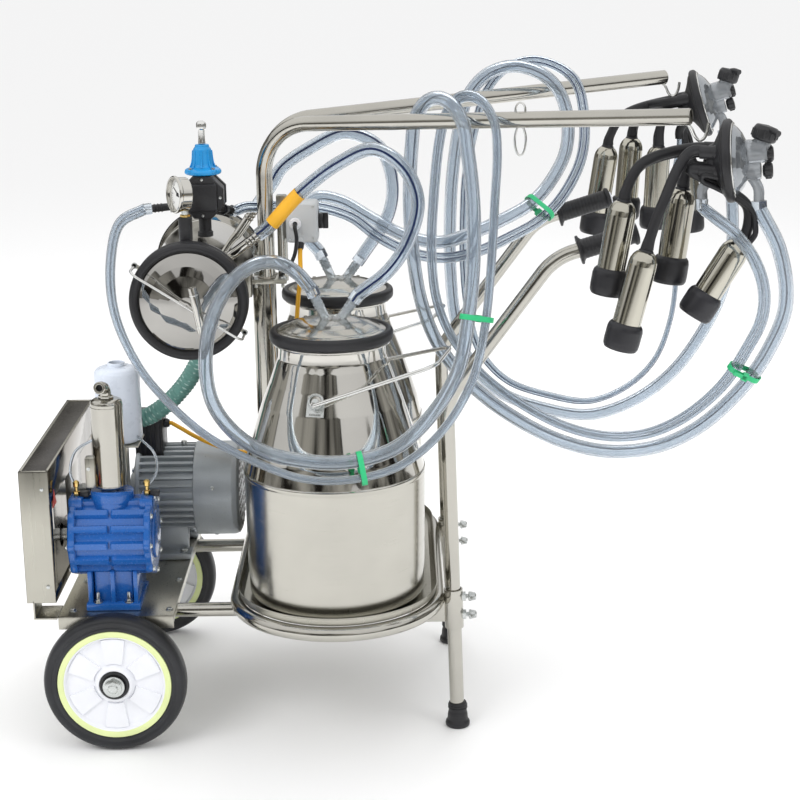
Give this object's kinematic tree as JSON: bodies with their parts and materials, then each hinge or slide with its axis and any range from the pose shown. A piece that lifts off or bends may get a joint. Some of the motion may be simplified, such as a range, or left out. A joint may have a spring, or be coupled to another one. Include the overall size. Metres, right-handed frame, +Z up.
{
  "type": "milking machine",
  "caption": "Wheeled vacuum milking unit: tube frame with conical buckets, motor-driven vacuum pump, tank, and teat-cup clusters on hoses.",
  "frame": {"origin": "bottom centre of the machine's box, on the floor, measured without its hoses and cable", "axes": "+X from the wheels towards the handles, +Y to the far side, +Z up"},
  "size_m": [1.324, 0.8283, 1.1563],
  "materials": {
    "polished_tube": "polished stainless tube",
    "polished_steel": "mirror-polished stainless sheet",
    "satin_steel": "satin stainless sheet",
    "bright_wire": "bright wire and screws",
    "tyre_rubber": "solid black rubber",
    "white_plastic": "moulded white plastic",
    "black_rubber": "moulded black rubber",
    "gauge_metal": "plated gauge case",
    "needle_black": "black pointer",
    "regulator_blue": "blue enamel",
    "pump_blue": "painted blue casting",
    "shaft_steel": "turned steel",
    "motor_grey": "grey enamel on cast aluminium",
    "bottle_plastic": "milky translucent plastic",
    "switch_grey": "light grey plastic",
    "switch_black": "black plastic",
    "clear_hose": "clear vinyl with a dark blue stripe",
    "teal_hose": "green ribbed vinyl",
    "yellow_cable": "yellow cable sheath"
  },
  "bodies": {
    "frame": {"base_hoop": "polished_tube", "bucket_tray": "satin_steel", "chassis": "polished_tube", "column": "polished_tube", "post_near": "polished_tube", "post_far": "polished_tube", "bucket_near": "polished_steel", "lid_near": "polished_steel", "bucket_far": "polished_steel", "lid_far": "polished_steel", "tank_shell": "polished_steel", "tank_cap": "polished_steel", "gauge_body": "gauge_metal", "pulsator": "black_rubber", "regulator_body": "regulator_blue", "pump_body": "pump_blue", "v_belt": "black_rubber", "motor_body": "motor_grey", "belt_guard": "satin_steel", "muffler": "polished_steel", "oil_bottle": "bottle_plastic", "switch_box": "switch_grey", "teat_cup_near_1": "polished_steel", "teat_cup_near_2": "polished_steel", "teat_cup_near_3": "polished_steel", "teat_cup_near_4": "polished_steel", "claw_near": "black_rubber", "teat_cup_far_1": "polished_steel", "teat_cup_far_2": "polished_steel", "teat_cup_far_3": "polished_steel", "teat_cup_far_4": "polished_steel", "claw_far": "black_rubber", "hose_vacuum_near": "clear_hose", "hose_vacuum_far": "clear_hose", "hose_milk_near": "clear_hose", "hose_milk_far": "clear_hose", "hose_pulse_near": "clear_hose", "hose_pulse_far": "clear_hose", "hose_suction": "teal_hose", "motor_cable": "yellow_cable"},
    "wheel_near": {"tyre_near": "tyre_rubber", "rim_near": "white_plastic"},
    "wheel_far": {"tyre_far": "tyre_rubber", "rim_far": "white_plastic"},
    "leg_near": {"leg_handle_near": "polished_tube", "grip_near": "black_rubber"},
    "leg_far": {"leg_handle_far": "polished_tube", "grip_far": "black_rubber"},
    "bail_near": {"bail_near": "bright_wire"},
    "bail_far": {"bail_far": "bright_wire"},
    "clamp": {"tank_clamp": "bright_wire"},
    "needle": {"gauge_needle": "needle_black"},
    "adjuster": {"regulator_screw": "bright_wire"},
    "motor_spindle": {"motor_rotor": "shaft_steel"},
    "pump_spindle": {"pump_rotor": "shaft_steel"},
    "knob": {"switch_knob": "switch_black"},
    "screw_near_1": {"thumb_screw_near_1": "bright_wire"},
    "screw_near_2": {"thumb_screw_near_2": "bright_wire"},
    "screw_far_1": {"thumb_screw_far_1": "bright_wire"},
    "screw_far_2": {"thumb_screw_far_2": "bright_wire"}
  },
  "joints": [
    {"name": "wheel_near_roll", "type": "hinge", "parent": "frame", "child": "wheel_near", "pos_m": [-0.50439, -0.2635, 0.125], "axis": [0, 1, 0], "continuous": true},
    {"name": "bail_near_lift", "type": "hinge", "parent": "frame", "child": "bail_near", "pos_m": [-0.11639, -0.1775, 0.631], "axis": [-0.2182, -0.9759, 0], "range_deg": [0, 30]},
    {"name": "leg_near_slide", "type": "slide", "parent": "frame", "child": "leg_near", "axis": [-0.0263, 0, 0.9997], "range_m": [-0.05, 0]},
    {"name": "screw_near_1_turn", "type": "hinge", "parent": "frame", "child": "screw_near_1", "pos_m": [0.10371, -0.1945, 0.213], "axis": [1, 0, 0], "range_deg": [0, 360]},
    {"name": "screw_near_2_turn", "type": "hinge", "parent": "frame", "child": "screw_near_2", "pos_m": [0.10281, -0.1945, 0.247], "axis": [1, 0, 0], "range_deg": [0, 360]},
    {"name": "wheel_far_roll", "type": "hinge", "parent": "frame", "child": "wheel_far", "pos_m": [-0.50439, 0.2605, 0.125], "axis": [0, 1, 0], "continuous": true},
    {"name": "bail_far_lift", "type": "hinge", "parent": "frame", "child": "bail_far", "pos_m": [-0.11639, 0.1745, 0.631], "axis": [-0.2182, -0.9759, 0], "range_deg": [0, 30]},
    {"name": "leg_far_slide", "type": "slide", "parent": "frame", "child": "leg_far", "axis": [-0.0263, 0, 0.9997], "range_m": [-0.05, 0]},
    {"name": "screw_far_1_turn", "type": "hinge", "parent": "frame", "child": "screw_far_1", "pos_m": [0.10371, 0.1915, 0.213], "axis": [1, 0, 0], "range_deg": [0, 360]},
    {"name": "screw_far_2_turn", "type": "hinge", "parent": "frame", "child": "screw_far_2", "pos_m": [0.10281, 0.1915, 0.247], "axis": [1, 0, 0], "range_deg": [0, 360]},
    {"name": "clamp_open", "type": "hinge", "parent": "frame", "child": "clamp", "pos_m": [-0.44795, -0.1835, 0.8434], "axis": [-0.5443, 0, -0.8389], "range_deg": [0, 10]},
    {"name": "needle_turn", "type": "hinge", "parent": "frame", "child": "needle", "pos_m": [-0.36896, -0.15416, 0.96127], "axis": [-0.8634, -0.502, 0.0502], "range_deg": [0, 270]},
    {"name": "adjuster_turn", "type": "hinge", "parent": "frame", "child": "adjuster", "pos_m": [-0.33639, -0.0635, 1.0356], "axis": [0, 0, 1], "range_deg": [0, 360]},
    {"name": "motor_spin", "type": "hinge", "parent": "frame", "child": "motor_spindle", "pos_m": [-0.60439, 0.1285, 0.352], "axis": [1, 0, 0], "continuous": true},
    {"name": "pump_spin", "type": "hinge", "parent": "frame", "child": "pump_spindle", "pos_m": [-0.60439, -0.1515, 0.358], "axis": [1, 0, 0], "continuous": true},
    {"name": "knob_turn", "type": "hinge", "parent": "frame", "child": "knob", "pos_m": [-0.14009, -0.0215, 0.8925], "axis": [1, 0, 0], "range_deg": [0, 90]}
  ],
  "couplings": [
    {"joint": "pump_spin", "follows": "motor_spin", "ratio": 0.6667}
  ]
}
